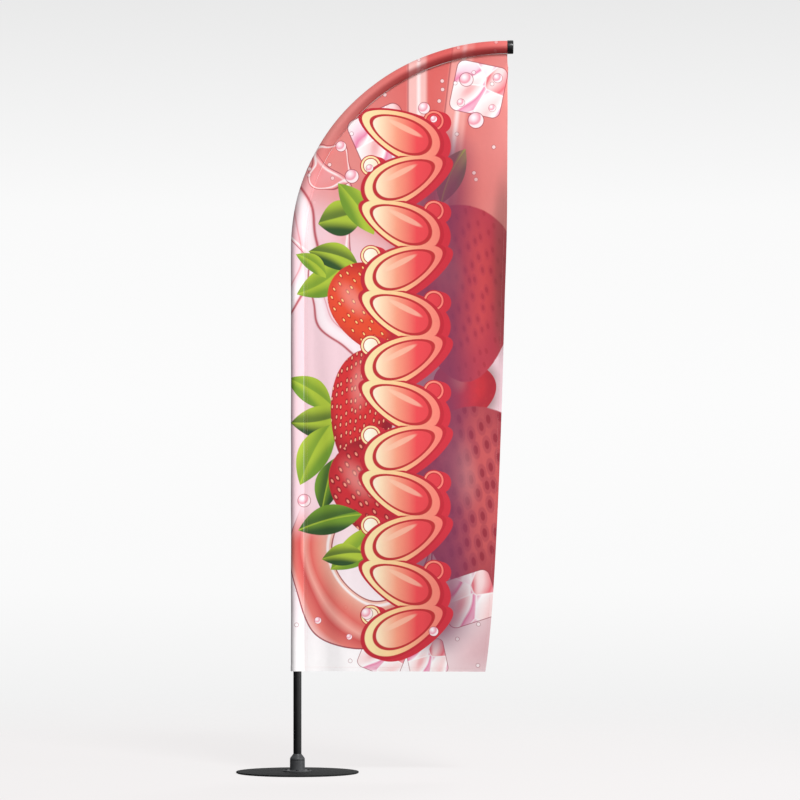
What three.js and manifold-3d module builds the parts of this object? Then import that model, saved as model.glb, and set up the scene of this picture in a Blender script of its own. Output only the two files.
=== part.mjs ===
// Feather flag with pole: a printed flag on a three-piece pole that turns on a weighted round foot.
// Millimetres, +Z up. The origin is on the pole's axis, on the floor under the foot.
// The pole bends over towards +X and the printed front of the flag faces -Y.

import * as THREE from 'three';
import { mergeVertices } from 'three/addons/utils/BufferGeometryUtils.js';
import Module from 'manifold-3d';

const wasm = await Module();
wasm.setup();

// ---------------------------------------------------------------- driving dimensions

const GAP = 0.3;                    // clearance between pieces that touch

// Foot: rubber pad, steel plate, bearing hub
const PAD = { r: 222, thick: 1.2 };
const PLATE = { r: 225, thick: 4.8, chamfer: 0.8, seatR: 53.2, seatDeep: 0.3 };
const PLATE_Z = PAD.thick + GAP;
const HUB_Z = PLATE_Z + PLATE.thick - PLATE.seatDeep + GAP;
const HUB = { r: 27.5, flangeR: 52.5, flangeThick: 4, fillet: 3, top: 47.6, floorBoreR: 17.5 };
const SCREW = { circleR: 42, count: 4, shankR: 2.7, headR: 5.25, headHigh: 3.3, hexR: 2.3, hexDeep: 2 };
const SCREW_HOLE_R = { plate: 3.05, flange: 3.3 };

// Deep-groove ball bearings, 20 x 42 x 12
const BEARING = { boreR: 10, outerR: 21, wide: 12, pitchR: 15.5, ballR: 3.175, balls: 9, landHalf: 2.3 };
const BEARING_SEAT_Z = 14;
const SPACER_LONG = 5;
const LOWER_BEARING_Z = BEARING_SEAT_Z + GAP;
const SPACER_Z = LOWER_BEARING_Z + BEARING.wide + GAP;
const UPPER_BEARING_Z = SPACER_Z + SPACER_LONG + GAP;
const BEARINGS_TOP = UPPER_BEARING_Z + BEARING.wide;
const HUB_CLIP = { r: 22.6, innerR: 18.6, thick: 1.5, openDeg: 40 };
const SPINDLE_CLIP = { r: 13, innerR: 9.3, thick: 1.4, openDeg: 60 };
const CLIP_PLAY = 0.2;              // beside a retaining ring in its groove

// Spindle, its tapered shroud and its two rubber rings
const PIN = { r: 12.2, top: 291, chamfer: 2 };
const COLLAR = { r: 14, thick: 4 };
const SPINDLE_FOOT_Z = 9.6;
const WASHER = { r: 14.5, thick: 1.2 };
const SHROUD = { top: 70.7, arcR: 14.4, arcDeg: 41, topR: 15.4, straight: 1.5 };
const RING = { wireR: 1.3, reachR: 12.65, heights: [110, 262] };

// Pole: a straight tube that runs into a quarter of an ellipse
const POLE = { r: 15, boreR: 13, foot: 71 };
const SPLIT_Z = { lower: 930, upper: 1800 };
const BEND = { z: 1929, wide: 770, high: 735 };
const TIP_Z = BEND.z + BEND.high;
const FERRULE = { r: 12.6, boreR: 10.6, long: 200 };

// Flag: the sleeve on the pole and the cloth beside it
const SLEEVE = { r: 24.5, thick: 1.2, steps: 36, sides: 10 };
const FLAG_BOTTOM = 374;
const SEAM_GAP = 1.2;               // from the sleeve to the edge of the cloth
const CLOTH = { thick: 1.2, rows: 30, columns: 7 };
const FLY = { topX: 774, topZ: 2590, sweep: 76, cornerShare: 0.2 };
const FLUTTER = { high: 26, long: 1500, lean: 0.35 };

// Tip: the plug that rounds the sleeve's end, and the cap
const PLUG = { r: 21.2, boreR: 16.2, long: 20 };
const CAP = { r: 25, long: 22, wall: 2.5, spigotR: 12.3, spigotLong: 14, round: 3 };

const ROUND = 24;                   // segments round small turned pieces
const WIDE_ROUND = 48;              // and round the foot

// ---------------------------------------------------------------- materials

const paint = (color, roughness, metalness) => new THREE.MeshStandardMaterial({ color, roughness, metalness });

const powderCoat = paint(0x2b2c2e, 0.55, 0.3);
const blackTube = paint(0x1c1d1f, 0.4, 0.3);
const fibreglass = paint(0x202122, 0.5, 0);
const bearingSteel = paint(0xb9bcc0, 0.25, 1);
const zincSteel = paint(0x9fa3a6, 0.4, 0.9);
const blackScrew = paint(0x151515, 0.45, 0.5);
const blackRubber = paint(0x141414, 0.9, 0);
const nylonCage = paint(0x8a6f4a, 0.6, 0);
const blackPlastic = paint(0x0d0e0f, 0.3, 0);
const printedCloth = paint(0xe58a86, 0.85, 0);
const sleeveCloth = paint(0xd9706a, 0.85, 0);

// ---------------------------------------------------------------- shape helpers

/** Points on an arc in the [radius, height] plane, from one angle to another in degrees. */
function arc(centreR, centreZ, radius, fromDeg, toDeg, steps) {
  const points = [];
  for (let i = 0; i <= steps; i += 1) {
    const angle = THREE.MathUtils.degToRad(fromDeg + ((toDeg - fromDeg) * i) / steps);
    points.push([centreR + radius * Math.cos(angle), centreZ + radius * Math.sin(angle)]);
  }
  return points;
}

/** A body turned about Z from [radius, height] points that run anticlockwise. */
function turned(profile, segments = ROUND) {
  const points = profile.map(([r, z]) => new THREE.Vector2(r, z));
  return new THREE.LatheGeometry(points, segments).rotateX(Math.PI / 2);
}

/** A tube about Z between two heights. */
function tube(outerR, innerR, bottom, top, segments = ROUND) {
  const corners = [[innerR, bottom], [outerR, bottom], [outerR, top], [innerR, top], [innerR, bottom]];
  return turned(corners, segments);
}

/** A closed geometry as a solid that can be cut, without the flat triangles at a turned body's axis. */
function solidOf(geometry) {
  const bare = geometry.clone();
  bare.deleteAttribute('normal');
  bare.deleteAttribute('uv');
  const merged = mergeVertices(bare, 1e-3);
  const corners = merged.index.array;
  const kept = [];
  for (let i = 0; i < corners.length; i += 3) {
    const [a, b, c] = corners.slice(i, i + 3);
    if (a !== b && b !== c && c !== a) kept.push(a, b, c);
  }
  const triVerts = new Uint32Array(kept);
  const vertProperties = merged.attributes.position.array;
  return new wasm.Manifold(new wasm.Mesh({ numProp: 3, vertProperties, triVerts }));
}

/** The geometry that is left when the tools are cut out of a geometry. */
function cut(geometry, tools) {
  const left = tools.reduce((body, tool) => body.subtract(solidOf(tool)), solidOf(geometry));
  const { vertProperties, triVerts } = left.getMesh();
  const result = new THREE.BufferGeometry();
  result.setAttribute('position', new THREE.BufferAttribute(new Float32Array(vertProperties), 3));
  result.setIndex(new THREE.BufferAttribute(new Uint32Array(triVerts), 1));
  result.computeVertexNormals();
  return result;
}

/** Copies a geometry to equally spaced places on a circle about Z. */
function onCircle(geometry, radius, count) {
  return Array.from({ length: count }, (_, i) => {
    return geometry.clone().translate(radius, 0, 0).rotateZ((2 * Math.PI * i) / count);
  });
}

/** A flat open retaining ring about Z. */
function retainingRing({ r, innerR, thick, openDeg }, bottom) {
  const half = THREE.MathUtils.degToRad(openDeg / 2);
  const outline = new THREE.Shape();
  outline.absarc(0, 0, r, half, 2 * Math.PI - half, false);
  outline.absarc(0, 0, innerR, 2 * Math.PI - half, half, true);
  outline.closePath();
  const options = { depth: thick, bevelEnabled: false, curveSegments: ROUND / 2 };
  return new THREE.ExtrudeGeometry(outline, options).translate(0, 0, bottom);
}

/** The pole's centre line from a height on the straight part, up and over to the tip. */
class PoleLine extends THREE.Curve {
  constructor(fromZ) {
    super();
    this.fromZ = fromZ;
    this.arcLengthDivisions = 400;
    this.bendStart = (BEND.z - fromZ) / (BEND.z - fromZ + (BEND.wide + BEND.high) * (Math.PI / 4));
  }

  getPoint(t, target = new THREE.Vector3()) {
    if (t < this.bendStart) {
      return target.set(0, 0, THREE.MathUtils.lerp(this.fromZ, BEND.z, t / this.bendStart));
    }
    const angle = ((t - this.bendStart) / (1 - this.bendStart)) * (Math.PI / 2);
    return target.set(BEND.wide * (1 - Math.cos(angle)), 0, BEND.z + BEND.high * Math.sin(angle));
  }
}

/** A hollow round section swept along the pole's centre line. */
function sweptTube(line, outerR, innerR, sides, steps) {
  const corner = (r, i) => {
    const angle = (2 * Math.PI * i) / sides;
    return new THREE.Vector2(r * Math.cos(angle), r * Math.sin(angle));
  };
  const ring = (r) => Array.from({ length: sides }, (_, i) => corner(r, i));
  const section = new THREE.Shape(ring(outerR));
  section.holes.push(new THREE.Path(ring(innerR)));
  return new THREE.ExtrudeGeometry(section, { steps, bevelEnabled: false, extrudePath: line });
}

// ---------------------------------------------------------------- assembly

const flag = new THREE.Group();

/** Adds one named piece to the flag. */
function add(name, geometry, material, parent = flag) {
  const mesh = new THREE.Mesh(geometry, material);
  mesh.name = name;
  parent.add(mesh);
  return mesh;
}

// ---------------------------------------------------------------- foot

function addPad() {
  add('anti_slip_pad', turned([[0, 0], [PAD.r, 0], [PAD.r, PAD.thick], [0, PAD.thick]], WIDE_ROUND), blackRubber);
}

/** The screw holes' cutters, long enough to pass through the plate and the flange. */
function screwHoles(radius) {
  const drill = new THREE.CylinderGeometry(radius, radius, 40, 12).rotateX(Math.PI / 2);
  return onCircle(drill, SCREW.circleR, SCREW.count);
}

/** The round foot plate, with a shallow turned seat that the bearing housing stands in. */
function addPlate() {
  const top = PLATE_Z + PLATE.thick;
  const inner = PLATE.r - PLATE.chamfer;
  const seat = top - PLATE.seatDeep;
  const disc = turned([
    [0, PLATE_Z],
    [inner, PLATE_Z],
    [PLATE.r, PLATE_Z + PLATE.chamfer],
    [PLATE.r, top - PLATE.chamfer],
    [inner, top],
    [PLATE.seatR, top],
    [PLATE.seatR, seat],
    [0, seat],
  ], WIDE_ROUND);
  add('base_plate', cut(disc, screwHoles(SCREW_HOLE_R.plate)), powderCoat);
}

/** The bearing housing: a flange on a straight collar, with a stepped bore and a ring groove. */
function addHub() {
  const flangeTop = HUB_Z + HUB.flangeThick;
  const boreR = BEARING.outerR + GAP;
  const grooveR = HUB_CLIP.r + GAP;
  const groove = [BEARINGS_TOP + GAP - CLIP_PLAY, BEARINGS_TOP + GAP + HUB_CLIP.thick + CLIP_PLAY];
  const edge = 0.7;
  const housing = turned([
    [HUB.floorBoreR, HUB_Z],
    [HUB.flangeR, HUB_Z],
    [HUB.flangeR, flangeTop - edge],
    [HUB.flangeR - edge, flangeTop],
    ...arc(HUB.r + HUB.fillet, flangeTop + HUB.fillet, HUB.fillet, 270, 180, 3),
    [HUB.r, HUB.top - edge],
    [HUB.r - edge, HUB.top],
    [boreR, HUB.top],
    [boreR, groove[1]],
    [grooveR, groove[1]],
    [grooveR, groove[0]],
    [boreR, groove[0]],
    [boreR, BEARING_SEAT_Z],
    [HUB.floorBoreR, BEARING_SEAT_Z],
    [HUB.floorBoreR, HUB_Z],
  ], ROUND + 8);
  add('hub_housing', cut(housing, screwHoles(SCREW_HOLE_R.flange)), powderCoat);
}

/** Button-head socket screws that hold the housing on the plate. */
function addScrews() {
  const seat = HUB_Z + HUB.flangeThick + GAP;
  const top = seat + SCREW.headHigh;
  const blank = turned([
    [0, PLATE_Z + GAP],
    [SCREW.shankR, PLATE_Z + GAP],
    [SCREW.shankR, seat],
    [SCREW.headR, seat],
    [SCREW.headR, seat + SCREW.headHigh / 3],
    [SCREW.headR * 0.7, top],
    [0, top],
  ], 12);
  const hexLong = 2 * SCREW.hexDeep;
  const socket = new THREE.CylinderGeometry(SCREW.hexR, SCREW.hexR, hexLong, 6).rotateX(Math.PI / 2);
  const screw = cut(blank, [socket.translate(0, 0, top)]);
  onCircle(screw, SCREW.circleR, SCREW.count).forEach((copy, i) => add(`hub_screw_${i + 1}`, copy, blackScrew));
}

// ---------------------------------------------------------------- bearings

/** One ball bearing: two grooved rings, a crown cage and its balls. */
function addBearing(name, bottom) {
  const middle = bottom + BEARING.wide / 2;
  const top = bottom + BEARING.wide;
  const raceR = BEARING.ballR + GAP;
  const raceDeg = THREE.MathUtils.radToDeg(Math.acos(BEARING.landHalf / raceR));
  const outerLand = BEARING.pitchR + BEARING.landHalf;
  const innerLand = BEARING.pitchR - BEARING.landHalf;
  const boreR = BEARING.boreR + GAP;
  add(`${name}_outer_ring`, turned([
    [outerLand, bottom],
    [BEARING.outerR, bottom],
    [BEARING.outerR, top],
    [outerLand, top],
    ...arc(BEARING.pitchR, middle, raceR, raceDeg, -raceDeg, 4),
    [outerLand, bottom],
  ]), bearingSteel);
  add(`${name}_inner_ring`, turned([
    [boreR, bottom],
    [innerLand, bottom],
    ...arc(BEARING.pitchR, middle, raceR, 180 + raceDeg, 180 - raceDeg, 4),
    [innerLand, top],
    [boreR, top],
    [boreR, bottom],
  ]), bearingSteel);
  const band = { inner: 14.4, outer: 16.6, below: 4.8, above: 1.2 };
  const crown = tube(band.outer, band.inner, middle - band.below, middle + band.above, 27);
  const pocket = new THREE.SphereGeometry(BEARING.ballR + 2 * GAP, 8, 6).translate(0, 0, middle);
  const pockets = onCircle(pocket, BEARING.pitchR, BEARING.balls);
  add(`${name}_cage`, cut(crown, pockets), nylonCage);
  const ball = new THREE.SphereGeometry(BEARING.ballR, 8, 6).translate(0, 0, middle);
  onCircle(ball, BEARING.pitchR, BEARING.balls).forEach((copy, i) => {
    add(`${name}_ball_${i + 1}`, copy, bearingSteel);
  });
}

/** The rings that keep the two bearings apart and in their seats. */
function addBearingRetainers() {
  const outerLand = BEARING.pitchR + BEARING.landHalf;
  const innerLand = BEARING.pitchR - BEARING.landHalf;
  const spacerTop = SPACER_Z + SPACER_LONG;
  add('outer_spacer', tube(BEARING.outerR, outerLand + 1, SPACER_Z, spacerTop), zincSteel);
  add('inner_spacer', tube(innerLand - 0.5, BEARING.boreR + GAP, SPACER_Z, spacerTop), zincSteel);
  add('hub_retaining_ring', retainingRing(HUB_CLIP, BEARINGS_TOP + GAP), zincSteel);
}

// ---------------------------------------------------------------- spindle

/** The turned steel spindle: journal, collar and the long pin that stands up inside the pole. */
function addSpindle() {
  const clipZ = SPINDLE_FOOT_Z + 1.5;
  const grooveR = SPINDLE_CLIP.innerR - GAP;
  const collarZ = BEARINGS_TOP + GAP;
  const collarTop = collarZ + COLLAR.thick;
  const grooveHalf = RING.wireR + GAP;
  const ringSeatR = RING.reachR - 2 * RING.wireR - GAP;
  const ringGrooves = RING.heights.flatMap((z) => [
    [PIN.r, z - grooveHalf],
    [ringSeatR, z - grooveHalf],
    [ringSeatR, z + grooveHalf],
    [PIN.r, z + grooveHalf],
  ]);
  add('spindle', turned([
    [0, SPINDLE_FOOT_Z],
    [BEARING.boreR - 0.6, SPINDLE_FOOT_Z],
    [BEARING.boreR, SPINDLE_FOOT_Z + 0.6],
    [BEARING.boreR, clipZ - CLIP_PLAY],
    [grooveR, clipZ - CLIP_PLAY],
    [grooveR, clipZ + SPINDLE_CLIP.thick + CLIP_PLAY],
    [BEARING.boreR, clipZ + SPINDLE_CLIP.thick + CLIP_PLAY],
    [BEARING.boreR, collarZ],
    [COLLAR.r, collarZ],
    [COLLAR.r, collarTop],
    [PIN.r, collarTop],
    ...ringGrooves,
    [PIN.r, PIN.top - PIN.chamfer],
    [PIN.r - PIN.chamfer, PIN.top],
    [0, PIN.top],
  ]), bearingSteel);
  add('spindle_retaining_ring', retainingRing(SPINDLE_CLIP, clipZ), zincSteel);
  const washerTop = LOWER_BEARING_Z - GAP;
  add('spindle_washer', tube(WASHER.r, BEARING.boreR + GAP, washerTop - WASHER.thick, washerTop), zincSteel);
}

/** The tapered shroud: it covers the top of the bearings, and the pole's foot rests on it. */
function addShroud() {
  const bottom = BEARINGS_TOP + GAP + COLLAR.thick + GAP;
  const boreR = PIN.r + GAP;
  const arcZ = bottom + SHROUD.straight;
  add('spindle_shroud', turned([
    [boreR, bottom],
    [HUB.r, bottom],
    ...arc(HUB.r - SHROUD.arcR, arcZ, SHROUD.arcR, 0, SHROUD.arcDeg, 5),
    [SHROUD.topR, SHROUD.top - 1],
    [SHROUD.topR - 0.3, SHROUD.top],
    [boreR, SHROUD.top],
    [boreR, bottom],
  ], ROUND + 8), powderCoat);
}

/** Rubber rings in the pin's grooves, which take up the play inside the pole. */
function addPinRings() {
  RING.heights.forEach((z, i) => {
    const section = arc(RING.reachR - RING.wireR, z, RING.wireR, 0, 360, 6);
    add(`pin_rubber_ring_${i + 1}`, turned(section), blackRubber);
  });
}

// ---------------------------------------------------------------- pole

function addPole() {
  add('pole_lower', tube(POLE.r, POLE.boreR, POLE.foot, SPLIT_Z.lower), blackTube);
  add('pole_middle', tube(POLE.r, POLE.boreR, SPLIT_Z.lower + GAP, SPLIT_Z.upper), blackTube);
  const bent = sweptTube(new PoleLine(SPLIT_Z.upper + GAP), POLE.r, POLE.boreR, 16, 20);
  add('pole_upper', bent, fibreglass);
  Object.entries(SPLIT_Z).forEach(([name, z]) => {
    const ferrule = tube(FERRULE.r, FERRULE.boreR, z - FERRULE.long / 2, z + FERRULE.long / 2, 20);
    add(`ferrule_${name}`, ferrule, zincSteel);
  });
}

/** The plug that keeps the sleeve's end round on the pole's tip, and the cap that closes it. */
function addTip() {
  const tip = new THREE.Group();
  tip.position.set(BEND.wide, 0, TIP_Z);
  tip.rotation.y = Math.PI / 2;
  flag.add(tip);
  add('tip_plug', tube(PLUG.r, PLUG.boreR, -PLUG.long, -GAP), blackPlastic, tip);
  const face = 2 * GAP;
  const end = face + CAP.long;
  const round = arc(CAP.r - CAP.round, end - CAP.round, CAP.round, 0, 90, 3);
  add('end_cap', turned([
    [0, face - CAP.spigotLong],
    [CAP.spigotR - 1, face - CAP.spigotLong],
    [CAP.spigotR, face - CAP.spigotLong + 1],
    [CAP.spigotR, end - CAP.wall],
    [CAP.r - CAP.wall, end - CAP.wall],
    [CAP.r - CAP.wall, face],
    [CAP.r, face],
    ...round,
    [0, end],
  ]), blackPlastic, tip);
}

// ---------------------------------------------------------------- flag

const sleeveLine = new PoleLine(FLAG_BOTTOM);

/** A point on the cloth's seam beside the sleeve, as a share of the way from the bottom to the tip. */
function seamPoint(share) {
  const onPole = sleeveLine.getPointAt(share);
  const along = sleeveLine.getTangentAt(share);
  const inwards = new THREE.Vector3(along.z, 0, -along.x);
  return onPole.addScaledVector(inwards, SLEEVE.r + SEAM_GAP);
}

/** A point on the cloth's free edge, which sweeps in towards the bottom corner. */
function flyPoint(share) {
  const down = 1 - share;
  const sweep = (1 - FLY.cornerShare) * down ** 2 + FLY.cornerShare * down ** 12;
  const z = THREE.MathUtils.lerp(FLAG_BOTTOM, FLY.topZ, share);
  return new THREE.Vector3(FLY.topX - FLY.sweep * sweep, 0, z);
}

/** How far the cloth swings out of the pole's plane at a share of its width. */
function flutter(across, z) {
  const phase = 2 * Math.PI * (z / FLUTTER.long + FLUTTER.lean * across);
  return FLUTTER.high * across ** 2 * Math.sin(phase);
}

/** The cloth is a box whose grid is laid out between the seam and the free edge. */
function addCloth() {
  const cloth = new THREE.BoxGeometry(1, 1, 1, CLOTH.columns, 1, CLOTH.rows);
  const places = cloth.attributes.position;
  for (let i = 0; i < places.count; i += 1) {
    const across = places.getX(i) + 0.5;
    const up = places.getZ(i) + 0.5;
    const point = seamPoint(up).lerp(flyPoint(up), across);
    const y = flutter(across, point.z) + CLOTH.thick * places.getY(i);
    places.setXYZ(i, point.x, y, point.z);
  }
  cloth.computeVertexNormals();
  add('flag_panel', cloth, printedCloth);
}

function addSleeve() {
  const sleeve = sweptTube(sleeveLine, SLEEVE.r, SLEEVE.r - SLEEVE.thick, SLEEVE.sides, SLEEVE.steps);
  add('pole_sleeve', sleeve, sleeveCloth);
}

addPad();
addPlate();
addHub();
addScrews();
addBearing('lower_bearing', LOWER_BEARING_Z);
addBearing('upper_bearing', UPPER_BEARING_Z);
addBearingRetainers();
addSpindle();
addShroud();
addPinRings();
addPole();
addTip();
addSleeve();
addCloth();

export default flag;
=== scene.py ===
"""A feather flag on a turning pole and a flat round foot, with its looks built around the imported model.

Metres, +Z up, the pole's axis on Z, the pole bending over towards +X and the printed front facing -Y.
"""

import math

import bmesh
import bpy
import numpy as np
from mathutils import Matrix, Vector


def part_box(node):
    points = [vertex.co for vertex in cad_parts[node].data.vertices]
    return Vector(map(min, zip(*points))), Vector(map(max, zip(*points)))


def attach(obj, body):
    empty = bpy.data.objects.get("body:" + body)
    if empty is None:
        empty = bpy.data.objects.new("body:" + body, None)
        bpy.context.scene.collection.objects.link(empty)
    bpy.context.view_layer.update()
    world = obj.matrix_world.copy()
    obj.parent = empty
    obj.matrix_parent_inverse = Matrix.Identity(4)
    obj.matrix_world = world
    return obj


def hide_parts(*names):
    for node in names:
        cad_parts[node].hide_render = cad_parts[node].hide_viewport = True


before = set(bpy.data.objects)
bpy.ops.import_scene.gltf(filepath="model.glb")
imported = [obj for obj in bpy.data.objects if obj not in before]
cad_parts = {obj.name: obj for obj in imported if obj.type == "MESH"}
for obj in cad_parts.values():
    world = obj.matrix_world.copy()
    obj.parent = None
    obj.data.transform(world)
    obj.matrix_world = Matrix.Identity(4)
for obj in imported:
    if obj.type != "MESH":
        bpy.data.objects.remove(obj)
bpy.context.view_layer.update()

# ---------------------------------------------------------------- sizes, from the frame where it gives them

POLE_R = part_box("pole_lower")[1][0]
CAP_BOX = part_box("end_cap")
TIP_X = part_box("pole_upper")[1][0]
TIP_Z = (CAP_BOX[0][2] + CAP_BOX[1][2]) / 2
BEND_Z = 1.929                      # where the pole starts to bend
BEND_HIGH = TIP_Z - BEND_Z
SLEEVE_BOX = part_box("pole_sleeve")
SLEEVE_R = -SLEEVE_BOX[0][0]
FLAG_BOTTOM = SLEEVE_BOX[0][2]
SEAM_OFFSET = 0.0243                # from the pole's axis to the seam where sleeve and flag meet
FLY_X = 0.772                       # free edge at the top
FLY_Z = 2.590
FLY_SWEEP = 0.076                   # how far it comes in at the bottom
CORNER_SHARE = 0.2                  # the share of that which comes in close to the bottom corner
FLUTTER_HIGH = 0.026                # the cloth's one wave: how far out it swings,
FLUTTER_LONG = 1.5                  # its length up the cloth,
FLUTTER_LEAN = 0.35                 # and how much of a turn it shifts across the cloth
ROLL_HIGH = 0.016                   # how far the free edge rolls forwards,
ROLL_Z = 1.90                       # the height where it does so most,
ROLL_LONG = 0.26                    # how soon that fades above and below,
ROLL_SHARE = 0.12                   # and the share of the cloth's width that rolls
ROUND = 96                          # sides of a turned body
SIM_FRAMES = 24                     # how long the cloth hangs before its shape is taken
SIM_REACH = 0.05                    # the furthest that the simulation may move a point
SIM_SHARE = (0.3, 0.2, 0.3)         # how much of its move is kept in x, y and z
GRID_ROWS = 121                     # of the cloth while it hangs
GRID_COLUMNS = 41
FINER = 3                           # steps to each of those afterwards
CLOTH_THICK = 0.0005
HEM_WIDE = 0.014                    # of the cloth turned over behind its edges
CUFF_RINGS = 4                      # of the sleeve, covered by its folded cuff
RING_HEIGHTS = (0.110, 0.262)       # of the two rubber rings on the spindle's pin


# ---------------------------------------------------------------- camera

def make_camera():
    """A long lens, level, at half the flag's height."""
    distance = 20.0
    across = 2.936                  # width of the view at the flag
    middle_x, middle_z = 0.3765, 1.369
    data = bpy.data.cameras.new("camera")
    data.sensor_width = 36.0
    data.lens = data.sensor_width * distance / across
    data.clip_end = 200.0
    camera = bpy.data.objects.new("camera", data)
    camera.location = (middle_x, -distance, middle_z)
    camera.rotation_euler = (math.pi / 2, 0, 0)
    bpy.context.scene.collection.objects.link(camera)
    bpy.context.scene.camera = camera


make_camera()


# ---------------------------------------------------------------- mesh helpers

def new_piece(name, vertices, faces, smooth=True):
    mesh = bpy.data.meshes.new(name)
    mesh.from_pydata([tuple(map(float, v)) for v in vertices], [], [tuple(map(int, f)) for f in faces])
    mesh.update()
    piece = bpy.data.objects.new(name, mesh)
    bpy.context.scene.collection.objects.link(piece)
    mesh.polygons.foreach_set("use_smooth", [smooth] * len(mesh.polygons))
    return piece


def grid_faces(rows, columns, wrap_rows=False, wrap_columns=False):
    """Quads of a grid of rows by columns points, which may close on itself either way."""
    faces = []
    for i in range(rows if wrap_rows else rows - 1):
        for j in range(columns if wrap_columns else columns - 1):
            a = i * columns + j
            b = i * columns + (j + 1) % columns
            up = ((i + 1) % rows) * columns
            faces.append((a, b, up + (j + 1) % columns, up + j))
    return faces


def arc(centre_r, centre_z, radius, start, end, steps):
    """Points on an arc in the (radius, height) plane, from one angle to another in degrees."""
    angles = np.radians(np.linspace(start, end, steps + 1))
    return [(centre_r + radius * math.cos(a), centre_z + radius * math.sin(a)) for a in angles]


def ring_of(count):
    return [(math.cos(a), math.sin(a)) for a in np.linspace(0, 2 * math.pi, count, endpoint=False)]


def turned(name, profile, segments=ROUND, closed=False):
    """A body turned about Z from (radius, height) points that run anticlockwise."""
    vertices = [(r * c, r * s, z) for c, s in ring_of(segments) for r, z in profile]
    faces = grid_faces(segments, len(profile), wrap_rows=True, wrap_columns=closed)
    piece = new_piece(name, vertices, [f[::-1] for f in faces])
    tidy(piece)
    return piece


def tidy(piece, distance=1e-6):
    """Joins double points, such as those on a turned body's axis, and turns the faces outwards."""
    work = bmesh.new()
    work.from_mesh(piece.data)
    bmesh.ops.remove_doubles(work, verts=work.verts, dist=distance)
    bmesh.ops.recalc_face_normals(work, faces=work.faces)
    work.to_mesh(piece.data)
    work.free()
    sharpen(piece)


def sharpen(piece, angle=35):
    """Smooth shading with hard edges where faces meet at more than an angle in degrees."""
    mesh = piece.data
    mesh.polygons.foreach_set("use_smooth", [True] * len(mesh.polygons))
    mesh.set_sharp_from_angle(angle=math.radians(angle))


def finish_piece(piece, materials, slot, body, *nodes):
    """Gives a piece its material or materials, the body it rides on and the nodes it replaces; its slot is
    not used.
    """
    for material in materials if isinstance(materials, tuple) else (materials,):
        piece.data.materials.append(material)
    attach(piece, body)
    if nodes:
        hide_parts(*nodes)


# ---------------------------------------------------------------- the pole's line, the sleeve and the cloth

def steps_of(points):
    """The lengths of the steps along a line of points."""
    return np.linalg.norm(np.diff(points, axis=0), axis=1)


def pole_line(from_z, count):
    """Points and tangents at equal steps on the pole's centre line, from a height up and over the bend."""
    straight = np.linspace(from_z, BEND_Z, 200)[:-1]
    angle = np.linspace(0, math.pi / 2, 2000)
    x = np.concatenate([np.zeros_like(straight), TIP_X * (1 - np.cos(angle))])
    z = np.concatenate([straight, BEND_Z + BEND_HIGH * np.sin(angle)])
    length = np.concatenate([[0], np.cumsum(np.hypot(np.diff(x), np.diff(z)))])
    steps = np.linspace(0, length[-1], count)
    points = np.stack([np.interp(steps, length, x), np.zeros(count), np.interp(steps, length, z)], 1)
    tangents = np.gradient(points, axis=0)
    tangents[:, 0] = np.where(points[:, 2] < BEND_Z - 0.001, 0.0, tangents[:, 0])
    tangents /= np.linalg.norm(tangents, axis=1, keepdims=True)
    return points, tangents


def inward(tangents):
    """The direction across the pole, towards the cloth."""
    return np.stack([tangents[:, 2], np.zeros(len(tangents)), -tangents[:, 0]], 1)


def cloth_grid(rows, columns):
    """The flag's flat pattern as a grid of (x, z), from the seam on the sleeve to the free edge."""
    points, tangents = pole_line(FLAG_BOTTOM, rows)
    seam = points + inward(tangents) * SEAM_OFFSET
    share = np.linspace(0, 1, rows)
    down = 1 - share
    sweep = (1 - CORNER_SHARE) * down ** 2 + CORNER_SHARE * down ** 12
    fly_x = FLY_X - FLY_SWEEP * sweep
    fly_z = FLAG_BOTTOM + (FLY_Z - FLAG_BOTTOM) * share
    across = np.linspace(0, 1, columns)[None, :]
    x = seam[:, :1] * (1 - across) + fly_x[:, None] * across
    z = seam[:, 2:] * (1 - across) + fly_z[:, None] * across
    return x, z, across


def flutter(across, z):
    """How far the cloth swings out of the pole's plane."""
    phase = 2 * math.pi * (z / FLUTTER_LONG + FLUTTER_LEAN * across)
    edge = np.clip((across - 1 + ROLL_SHARE) / ROLL_SHARE, 0, 1)
    roll = np.exp(-((z - ROLL_Z) / ROLL_LONG) ** 2) * edge ** 2
    return FLUTTER_HIGH * across ** 2 * np.sin(phase) - ROLL_HIGH * roll


def hang(x, z, across):
    """Lets the cloth hang from its seam for a moment and returns where its grid of points comes to rest."""
    rows, columns = x.shape
    start = np.stack([x, flutter(across, z), z], 2)
    piece = new_piece("hanging_cloth", start.reshape(-1, 3), grid_faces(rows, columns))
    sewn = piece.vertex_groups.new(name="sewn")
    for i in range(rows):
        sewn.add([i * columns], 1.0, "REPLACE")
        sewn.add([i * columns + 1], 0.6, "REPLACE")
    cloth = piece.modifiers.new("cloth", "CLOTH")
    cloth.settings.quality = 7
    cloth.settings.mass = 0.08
    cloth.settings.air_damping = 1.0
    cloth.settings.tension_stiffness = 40
    cloth.settings.compression_stiffness = 40
    cloth.settings.shear_stiffness = 12
    cloth.settings.bending_stiffness = 0.4
    cloth.settings.vertex_group_mass = "sewn"
    cloth.collision_settings.use_collision = False
    cloth.point_cache.frame_end = SIM_FRAMES
    for number in range(1, SIM_FRAMES + 1):
        bpy.context.scene.frame_set(number)
    shape = piece.evaluated_get(bpy.context.evaluated_depsgraph_get()).data
    hung = np.empty(rows * columns * 3)
    shape.vertices.foreach_get("co", hung)
    bpy.context.scene.frame_set(1)
    bpy.data.objects.remove(piece)
    move = (hung.reshape(rows, columns, 3) - start) * np.array(SIM_SHARE)
    reach = np.linalg.norm(move, axis=2, keepdims=True)
    print("cloth moved at most", round(float(reach.max()), 4))
    return start + move * np.minimum(1.0, SIM_REACH / np.maximum(reach, 1e-9))


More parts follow.
